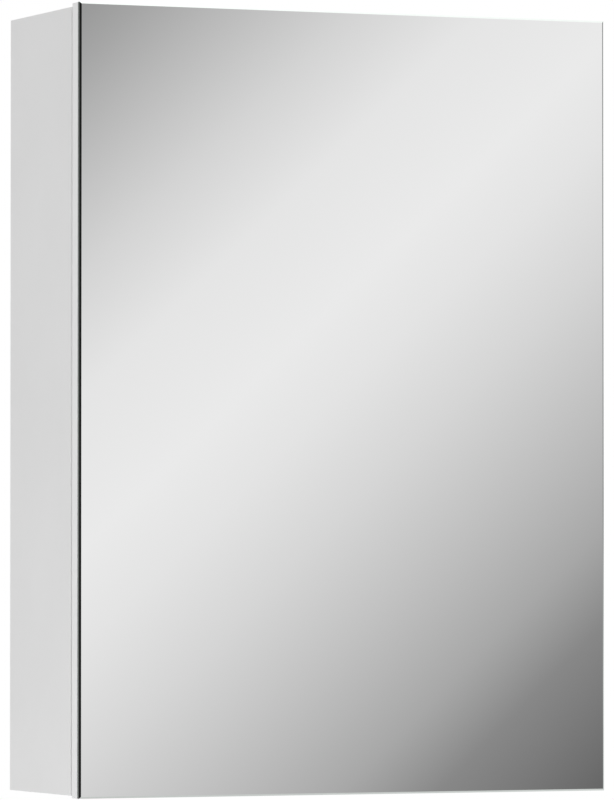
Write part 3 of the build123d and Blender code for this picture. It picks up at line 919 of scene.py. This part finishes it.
@dataclass
class MirrorPlate:
    """The glass plate with its silvered face, chamfered border and ground edge."""

    workshop: Workshop
    chamfer: float = 1.6 * MM
    arris: float = 0.25 * MM
    chamfer_lean: float = 0.1

    def surface(self, lean: float) -> PlateSurface:
        """Names the surface that a face of the plate belongs to.

        Args:
            lean: How squarely the face looks to the back, -1 to 1.

        Returns:
            The surface.
        """
        if lean > ALIGNED:
            return PlateSurface.BACK
        if lean < -ALIGNED:
            return PlateSurface.SILVERED
        return PlateSurface.CHAMFER if lean < -self.chamfer_lean else PlateSurface.EDGE

    def build(self) -> bpy.types.Object:
        """Builds the plate from the box of its node.

        Returns:
            The plate, with one material for each of its surfaces.
        """
        low, high = (Vector(corner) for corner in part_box("mirror_glass"))
        shape = slab(low, high)
        break_edges(shape, edges_facing(shape, -BACKWARD), self.chamfer)
        break_edges(shape, edges_facing(shape, BACKWARD), self.arris)
        for face in shape.faces:
            face.material_index = self.surface(face.normal.dot(BACKWARD))
        palette = self.workshop.palette
        materials = {
            PlateSurface.SILVERED: palette.of(Slot.MIRROR),
            PlateSurface.CHAMFER: palette.material("chamfer_glass", ChamferGlass()),
            PlateSurface.EDGE: palette.material("ground_edge_painted_shade", ShadedGroundEdge()),
            PlateSurface.BACK: palette.material("back_paint", BackPaint()),
        }
        ordered = [materials[surface] for surface in PlateSurface]
        return self.workshop.piece("mirror_plate", shape, "mirror_glass", ordered)


@dataclass
class GlassShelf:
    """A glass shelf with polished, slightly broken edges."""

    workshop: Workshop
    level: str
    arris: float = 0.6 * MM
    arris_segments: int = 2

    def build(self) -> bpy.types.Object:
        """Builds the shelf from the box of its node.

        Returns:
            The shelf, with clear faces and green edges.
        """
        node = f"shelf_{self.level}"
        low, high = (Vector(corner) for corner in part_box(node))
        shape = slab(low, high)
        break_edges(shape, list(shape.edges), self.arris, self.arris_segments)
        for face in shape.faces:
            level = abs(face.normal.z) > ALIGNED
            face.material_index = ShelfSurface.CLEAR if level else ShelfSurface.EDGE
        palette = self.workshop.palette
        materials = {
            ShelfSurface.CLEAR: palette.of(Slot.CLEAR_GLASS),
            ShelfSurface.EDGE: palette.material("glass_edge", GlassEdge()),
        }
        ordered = [materials[surface] for surface in ShelfSurface]
        return self.workshop.piece(f"glass_shelf_{self.level}", shape, node, ordered)


@dataclass(frozen=True)
class ScrewSpot:
    """Where one screw sits: the middle of its head's underside, and the way its head faces."""

    place: Vector
    facing: Vector

    def matrix(self) -> Matrix:
        """Returns the matrix that brings a screw made along +Z to its spot."""
        return Matrix.Translation(self.place) @ self.facing.to_track_quat("Z", "Y").to_matrix().to_4x4()


@dataclass(frozen=True)
class ScrewShape:
    """Sizes of one kind of screw, and the shares of them that shape its head, tip and recess.

    The crown's corners are shares of the head's radius and height. The tip starts at a share of
    the length and ends at a share of the shank's radius. The recess is a cross with arms that
    are shares of the head's radius long, wide and deep, and its floor a share of its mouth.
    """

    head_radius: float
    head_height: float
    shank_radius: float
    length: float
    cone: float = 0.0
    crown: tuple[Span, ...] = ((0.0, 1.0), (0.55, 0.94), (0.85, 0.68), (1.0, 0.2))
    tip_start: float = 0.8
    tip_blunt: float = 0.3
    arm_length: float = 1.2
    arm_width: float = 0.3
    arm_depth: float = 0.55
    arm_floor: Colour = (0.35, 0.6, 1.0)
    steps: int = 32

    def section(self) -> list[tuple[float, float]]:
        """Lists the corners of the half section, from the head's middle to the tip.

        Returns:
            The radius and height of each corner.
        """
        crown = [(self.head_radius * out, self.head_height * up) for out, up in self.crown]
        under = [(self.head_radius, 0.0), (self.shank_radius, -self.cone)]
        tip = [
            (self.shank_radius, -self.length * self.tip_start),
            (self.shank_radius * self.tip_blunt, -self.length),
            (0.0, -self.length),
        ]
        return crown + under + tip

    def cutter(self) -> bmesh.types.BMesh:
        """Makes the tapered cross that the recess is cut with.

        Returns:
            The cross, whose two arms overlap.
        """
        shape = bmesh.new()
        shares = (self.arm_length, self.arm_width, self.arm_depth * 2)
        size = [self.head_radius * share for share in shares]
        for turn in (0.0, math.pi / 2):
            arm = bmesh.ops.create_cube(shape, size=1.0)["verts"]
            bmesh.ops.scale(shape, verts=arm, vec=size)
            floor = [vert for vert in arm if vert.co.z < 0]
            bmesh.ops.scale(shape, verts=floor, vec=self.arm_floor)
            bmesh.ops.rotate(shape, verts=arm, cent=(0, 0, 0), matrix=Matrix.Rotation(turn, 3, "Z"))
        bmesh.ops.translate(shape, verts=shape.verts, vec=(0, 0, self.head_height))
        return shape

    def build(self) -> bmesh.types.BMesh:
        """Makes one screw along +Z with the underside of its head at the origin."""
        return cut_away(revolved(self.section(), self.steps), self.cutter())


@dataclass
class ScrewSet:
    """The screws of one node, with domed or countersunk heads and cross recesses."""

    workshop: Workshop
    name: str
    node: str
    shape: ScrewShape
    spots: list[ScrewSpot]
    edge_angle: float = math.radians(40)

    def build(self) -> bpy.types.Object:
        """Builds the screws as one piece.

        Returns:
            The piece.
        """
        group = repeated(self.shape.build(), [spot.matrix() for spot in self.spots])
        made = self.workshop.piece(self.name, group, self.node)
        shade_smooth(made, self.edge_angle)
        return made


@dataclass
class Hinge:
    """One concealed hinge: pressed arm and plate, links, cup and their screws."""

    workshop: Workshop
    level: str
    system_pitch: float = 32.0 * MM
    wing_screw: ScrewShape = ScrewShape(
        head_radius=4.1 * MM, head_height=0.0, shank_radius=2.5 * MM, length=10.9 * MM, cone=1.6 * MM)
    cup_screw: ScrewShape = ScrewShape(
        head_radius=3.5 * MM, head_height=0.6 * MM, shank_radius=1.75 * MM, length=9.0 * MM)

    def node(self, part: str) -> str:
        """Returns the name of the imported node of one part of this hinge."""
        return f"hinge_{self.level}_{part}"

    def rounded_parts(self) -> dict[str, float]:
        """Lists the parts with rounded edges.

        Returns:
            The radius of each part.
        """
        return {
            "plate": 0.5 * MM,
            "arm": 0.45 * MM,
            "outer_link": 0.25 * MM,
            "inner_link": 0.35 * MM,
            "cup": 0.2 * MM,
            "arm_screws": 0.2 * MM,
        }

    def wing_screw_spots(self) -> list[ScrewSpot]:
        """Finds the two spots in the plate's wings from the node's box.

        Returns:
            The spots.
        """
        low, high = (Vector(corner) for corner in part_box(self.node("plate_screws")))
        middle = (low + high) / 2
        offsets = (self.system_pitch / 2, -self.system_pitch / 2)
        inward = Vector((-1, 0, 0))
        return [ScrewSpot(Vector((low.x, middle.y, middle.z + offset)), inward) for offset in offsets]

    def cup_screw_spots(self) -> list[ScrewSpot]:
        """Finds the two spots in the cup's ears from the node's box.

        Returns:
            The spots.
        """
        low, high = (Vector(corner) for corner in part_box(self.node("cup_screws")))
        radius = self.cup_screw.head_radius
        under = high.y - self.cup_screw.head_height
        heights = (low.z + radius, high.z - radius)
        return [ScrewSpot(Vector(((low.x + high.x) / 2, under, z)), BACKWARD) for z in heights]

    def screws(self, name: str, part: str, shape: ScrewShape, spots: list[ScrewSpot]) -> ScrewSet:
        """Returns the screws of one part, not yet built; their name starts with the hinge's level."""
        return ScrewSet(self.workshop, f"{self.level}_hinge_{name}", self.node(part), shape, spots)

    def build(self) -> list[bpy.types.Object]:
        """Builds the hinge's pieces.

        Returns:
            The pieces, which ride on the bodies of their nodes.
        """
        made = [
            self.workshop.softened(f"{self.level}_hinge_{part}", self.node(part), radius)
            for part, radius in self.rounded_parts().items()
        ]
        sets = (
            self.screws("wing_screws", "plate_screws", self.wing_screw, self.wing_screw_spots()),
            self.screws("cup_screws", "cup_screws", self.cup_screw, self.cup_screw_spots()),
        )
        return made + [screws.build() for screws in sets]


@dataclass
class Carcass:
    """The board box with its rounded edging, shelf pegs, hangers and wall rail."""

    workshop: Workshop

    def rounded_parts(self) -> dict[str, float]:
        """Lists the nodes with rounded edges.

        Returns:
            The radius of each node.
        """
        parts = {
            "carcass_edge_bands": 0.4 * MM,
            "side_panel_left": 0.25 * MM,
            "side_panel_right": 0.25 * MM,
            "wall_rail": 0.4 * MM,
            "cam_caps": 0.3 * MM,
            "shelf_upper_pegs": 0.25 * MM,
            "shelf_lower_pegs": 0.25 * MM,
        }
        for side in ("left", "right"):
            parts[f"hanger_body_{side}"] = 0.4 * MM
            parts[f"hanger_cover_{side}"] = 0.5 * MM
            parts[f"hanger_hook_{side}"] = 0.5 * MM
            parts[f"hanger_screws_{side}"] = 0.2 * MM
        return parts

    def build(self) -> list[bpy.types.Object]:
        """Builds the carcass's rounded pieces and its glass shelves.

        Returns:
            The pieces.
        """
        made = [
            self.workshop.softened(f"soft_{node}", node, radius)
            for node, radius in self.rounded_parts().items()
        ]
        made += [GlassShelf(self.workshop, level).build() for level in ("upper", "lower")]
        return made


@dataclass
class Door:
    """The door: banded board, mirror plate and two clear bumpers."""

    workshop: Workshop
    band_radius: float = 0.4 * MM
    bumper_radius: float = 4.0 * MM
    bumper_steps: int = 40
    bumper_arc_steps: int = 6
    bumper_edge_angle: float = math.radians(50)

    def bumpers(self) -> bpy.types.Object:
        """Builds the bumpers as soft domes on the door's back.

        Returns:
            The piece with both domes.
        """
        low, high = (Vector(corner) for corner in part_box("door_bumpers"))
        rise = high.y - low.y
        steps = self.bumper_arc_steps
        turns = [math.radians(90 * step / steps) for step in range(steps + 1)]
        arc = [(self.bumper_radius * math.cos(turn), rise * math.sin(turn)) for turn in turns]
        dome = revolved([(0.0, 0.0)] + arc, self.bumper_steps)
        turn_back = Matrix.Rotation(math.radians(-90), 4, "X")
        heights = (low.z + self.bumper_radius, high.z - self.bumper_radius)
        places = [Matrix.Translation(((low.x + high.x) / 2, low.y, z)) @ turn_back for z in heights]
        made = self.workshop.piece("bumper_domes", repeated(dome, places), "door_bumpers")
        shade_smooth(made, self.bumper_edge_angle)
        return made

    def build(self) -> list[bpy.types.Object]:
        """Builds the door's pieces.

        Returns:
            The pieces.
        """
        return [
            MirrorPlate(self.workshop).build(),
            self.workshop.softened("door_banding", "door_edge_bands", self.band_radius),
            self.bumpers(),
        ]


def stage_mesh(name: str, shape: bmesh.types.BMesh, place: Vector, sheet: NodeSheet) -> bpy.types.Object:
    """Makes a stage object.

    Args:
        name: Its name.
        shape: Its shape, which is used up.
        place: Where it stands.
        sheet: Its material's sheet.

    Returns:
        The object, marked as stage.
    """
    made = linked_mesh(name, shape)
    made.location = place
    made.data.materials.append(sheet.material)
    made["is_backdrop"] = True
    return made


def square(size: float, matrix: Matrix | None = None) -> bmesh.types.BMesh:
    """Makes a square of one face.

    Args:
        size: Half of its side.
        matrix: Turns and stretches it.

    Returns:
        The square.
    """
    shape = bmesh.new()
    bmesh.ops.create_grid(shape, x_segments=1, y_segments=1, size=size, matrix=matrix or Matrix())
    return shape


def reflector(name: str, shape: bmesh.types.BMesh, place: Vector, sheet: NodeSheet) -> bpy.types.Object:
    """Makes a stage object that only glossy rays see.

    Args:
        name: Its name.
        shape: Its shape, which is used up.
        place: Where it stands.
        sheet: Its material's sheet.

    Returns:
        The reflector, marked as stage.
    """
    made = stage_mesh(name, shape, place, sheet)
    made.visible_camera = False
    made.visible_diffuse = False
    made.visible_transmission = False
    made.visible_volume_scatter = False
    made.visible_shadow = False
    return made


@dataclass(frozen=True)
class GradientPanel:
    """Soft-edged reflector with a diagonal band of light on it."""

    centre: Vector = Vector((0.656, -1.67, -0.241))
    radius: float = 0.95
    fade: float = 0.25
    band: Vector = Vector((0.686, 0.0, -0.757))
    band_offset: float = 0.097
    span_low: float = -0.497
    span_high: float = 0.684
    strength: float = 1.11

    def tones(self) -> dict[float, Colour]:
        """Lists the band's tones from its upper left to its lower right.

        Returns:
            The tones by their place on the band, 0 to 1.
        """
        greys = {0.0: 0.27, 0.07: 0.38, 0.22: 0.655, 0.31: 0.785, 0.42: 0.825, 0.49: 0.775,
                 0.58: 0.67, 0.78: 0.39, 0.85: 0.246, 1.0: 0.107}
        return {position: (grey, grey, grey) for position, grey in greys.items()}

    def build(self) -> bpy.types.Object:
        """Builds the panel.

        Returns:
            The panel, marked as stage.
        """
        sheet = NodeSheet("gradient_panel")
        along = sheet.add("ShaderNodeVectorMath", "Value", {0: sheet.place, 1: self.band},
                          operation="DOT_PRODUCT")
        ends = (self.span_low - self.band_offset, self.span_high - self.band_offset)
        glow = sheet.glow(sheet.tones(sheet.span(along, ends, UNIT), self.tones()), self.strength)
        edge = sheet.span(sheet.length(sheet.place), (self.radius - self.fade, self.radius), UNIT)
        sheet.end(sheet.mixed(edge, glow, sheet.clear()))
        upright = Matrix.Rotation(math.radians(90), 4, "X")
        return reflector("gradient_panel", square(self.radius, upright), self.centre, sheet)


@dataclass(frozen=True)
class Flag:
    """Upright dark cloth for reflections, such as those in the plate's chamfers."""

    name: str
    centre: Vector
    half_width: float
    half_height: float
    grey: float
    cloth: Grain = Grain(20.0)
    shades: Span = (1.0, 0.7)
    fade_start: float = 0.7

    def build(self) -> bpy.types.Object:
        """Builds the flag, which faces the upright line through the origin.

        Returns:
            The flag, marked as stage.
        """
        sheet = NodeSheet(self.name)
        glow = sheet.glow(sheet.mottled(self.cloth.draw(sheet), (self.grey,) * 3, self.shades))
        far = sheet.length(sheet.stretched((1.0, 1.0, self.half_width / self.half_height)))
        edge = sheet.span(far, (self.half_width * self.fade_start, self.half_width), UNIT)
        sheet.end(sheet.mixed(edge, glow, sheet.clear()))
        facing = Vector((self.centre.x, self.centre.y, 0.0))
        turn = facing.to_track_quat("Z", "Y").to_matrix().to_4x4()
        stretch = Matrix.Diagonal((self.half_width, self.half_height, 1.0, 1.0))
        return reflector(self.name, square(1.0, turn @ stretch), self.centre, sheet)


@dataclass(frozen=True)
class SoftLight:
    """Square light that neither the camera nor reflections see."""

    name: str
    place: Vector
    size: float
    power: float

    def build(self, aim: Vector) -> bpy.types.Object:
        """Builds the light.

        Args:
            aim: The point that it faces.

        Returns:
            The light.
        """
        data = bpy.data.lights.new(self.name, "AREA")
        data.size = self.size
        data.energy = self.power
        light = bpy.data.objects.new(self.name, data)
        light.location = self.place
        light.rotation_euler = (self.place - aim).to_track_quat("Z", "Y").to_euler()
        light.visible_glossy = False
        light.visible_camera = False
        bpy.context.scene.collection.objects.link(light)
        return light


@dataclass
class Surroundings:
    """The world: white to the camera, even for light, softly clouded in reflections."""

    ambient: float = 0.70
    cloud_scale: float = 2.2
    cloud_light: Span = (0.5, 1.0)
    overhead_heights: Span = (0.4, 0.85)
    overhead_light: Span = (0.0, 0.4)

    def build(self) -> None:
        """Sets the scene's world."""
        world = bpy.data.worlds.new("studio")
        bpy.context.scene.world = world
        world.use_nodes = True
        world.node_tree.nodes.clear()
        end = world.node_tree.nodes.new("ShaderNodeOutputWorld")
        sheet = Wiring(world.node_tree)
        way = sheet.add("ShaderNodeTexCoord", "Generated")
        cloud = sheet.add("ShaderNodeTexNoise", "Fac", {
            "Vector": way, "Scale": self.cloud_scale, "Detail": 0.0})
        height = sheet.add("ShaderNodeSeparateXYZ", "Z", {"Vector": way})
        total = sheet.add("ShaderNodeMath", "Value", {
            0: sheet.span(cloud, NOISE, self.cloud_light),
            1: sheet.span(height, self.overhead_heights, self.overhead_light)}, operation="ADD")
        seen, even, mirrored = (
            sheet.add("ShaderNodeBackground", "Background", {"Color": WHITE, "Strength": strength})
            for strength in (1.0, self.ambient, total))
        glossy = sheet.add("ShaderNodeLightPath", "Is Glossy Ray")
        camera = sheet.add("ShaderNodeLightPath", "Is Camera Ray")
        unseen = sheet.mixed(glossy, even, mirrored)
        sheet.feed(end.inputs["Surface"], sheet.mixed(camera, unseen, seen))


@dataclass
class Studio:
    """White surroundings, soft lights, reflectors and the camera."""

    floor_drop: float = 0.90
    floor_half: float = 6.0
    floor_grey: float = 0.85
    floor_roughness: float = 0.7
    eye: Vector = Vector((-2.1728, -5.1706, -0.4188))
    yaw: float = math.radians(23.1225)
    pitch: float = math.radians(1.4649)
    lens: float = 280.66
    film: float = 36.0
    farthest: float = 50.0
    lights: tuple[SoftLight, ...] = (
        SoftLight("key_light", Vector((-1.2, -2.6, 1.9)), size=1.8, power=10.0),
        SoftLight("low_fill", Vector((-1.5, -0.5, -1.0)), size=0.7, power=4.2),
        SoftLight("back_light", Vector((1.8, 1.6, 1.6)), size=1.6, power=8.0),
    )
    reflectors: tuple[GradientPanel | Flag, ...] = (
        GradientPanel(),
        Flag("black_flag", Vector((-1.63, -0.76, -0.28)), half_width=0.45, half_height=0.9, grey=0.018),
        Flag("grey_flag", Vector((1.63, 0.60, 0.05)), half_width=0.40, half_height=0.62, grey=0.26),
    )

    def floor(self, lowest: float) -> bpy.types.Object:
        """Builds the pale floor, plain white to the camera and clear from below.

        Args:
            lowest: Height of the cabinet's lowest point.

        Returns:
            The floor.
        """
        sheet = NodeSheet("floor")
        sheet.set(base_color=(self.floor_grey,) * 3, roughness=self.floor_roughness)
        camera = sheet.add("ShaderNodeLightPath", "Is Camera Ray")
        above = sheet.mixed(camera, sheet.shader.outputs["BSDF"], sheet.glow(WHITE))
        below = sheet.add("ShaderNodeNewGeometry", "Backfacing")
        sheet.end(sheet.mixed(below, above, sheet.clear()))
        place = Vector((0, 0, lowest - self.floor_drop))
        floor = stage_mesh("floor", square(self.floor_half), place, sheet)
        floor.visible_glossy = False
        return floor

    def camera(self) -> bpy.types.Object:
        """Sets the camera at the photograph's viewing angle.

        Returns:
            The camera.
        """
        data = bpy.data.cameras.new("camera")
        data.sensor_fit = "VERTICAL"
        data.sensor_height = self.film
        data.lens = self.lens
        data.clip_end = self.farthest
        camera = bpy.data.objects.new("camera", data)
        camera.location = self.eye
        camera.rotation_euler = (math.radians(90) + self.pitch, 0.0, -self.yaw)
        bpy.context.scene.collection.objects.link(camera)
        bpy.context.scene.camera = camera
        return camera

    def build(self, low: Vector, high: Vector) -> None:
        """Builds the whole studio round the cabinet.

        Args:
            low: The cabinet's lowest corner.
            high: Its highest corner.
        """
        middle = (Vector(low) + Vector(high)) / 2
        self.floor(low[2])
        Surroundings().build()
        for light in self.lights:
            light.build(middle)
        for panel in self.reflectors:
            panel.build()
        self.camera()
        bpy.context.scene.view_settings.view_transform = "Standard"


def main() -> None:
    """Dresses the frame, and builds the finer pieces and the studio."""
    logging.basicConfig(level=logging.INFO, format="%(name)s: %(message)s")
    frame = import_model()
    cad_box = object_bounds()
    workshop = Workshop(frame, Palette())
    workshop.dress_nodes()
    Carcass(workshop).build()
    for level in ("upper", "lower"):
        Hinge(workshop, level).build()
    Door(workshop).build()
    Studio().build(*cad_box)


if __name__ == "__main__":
    main()
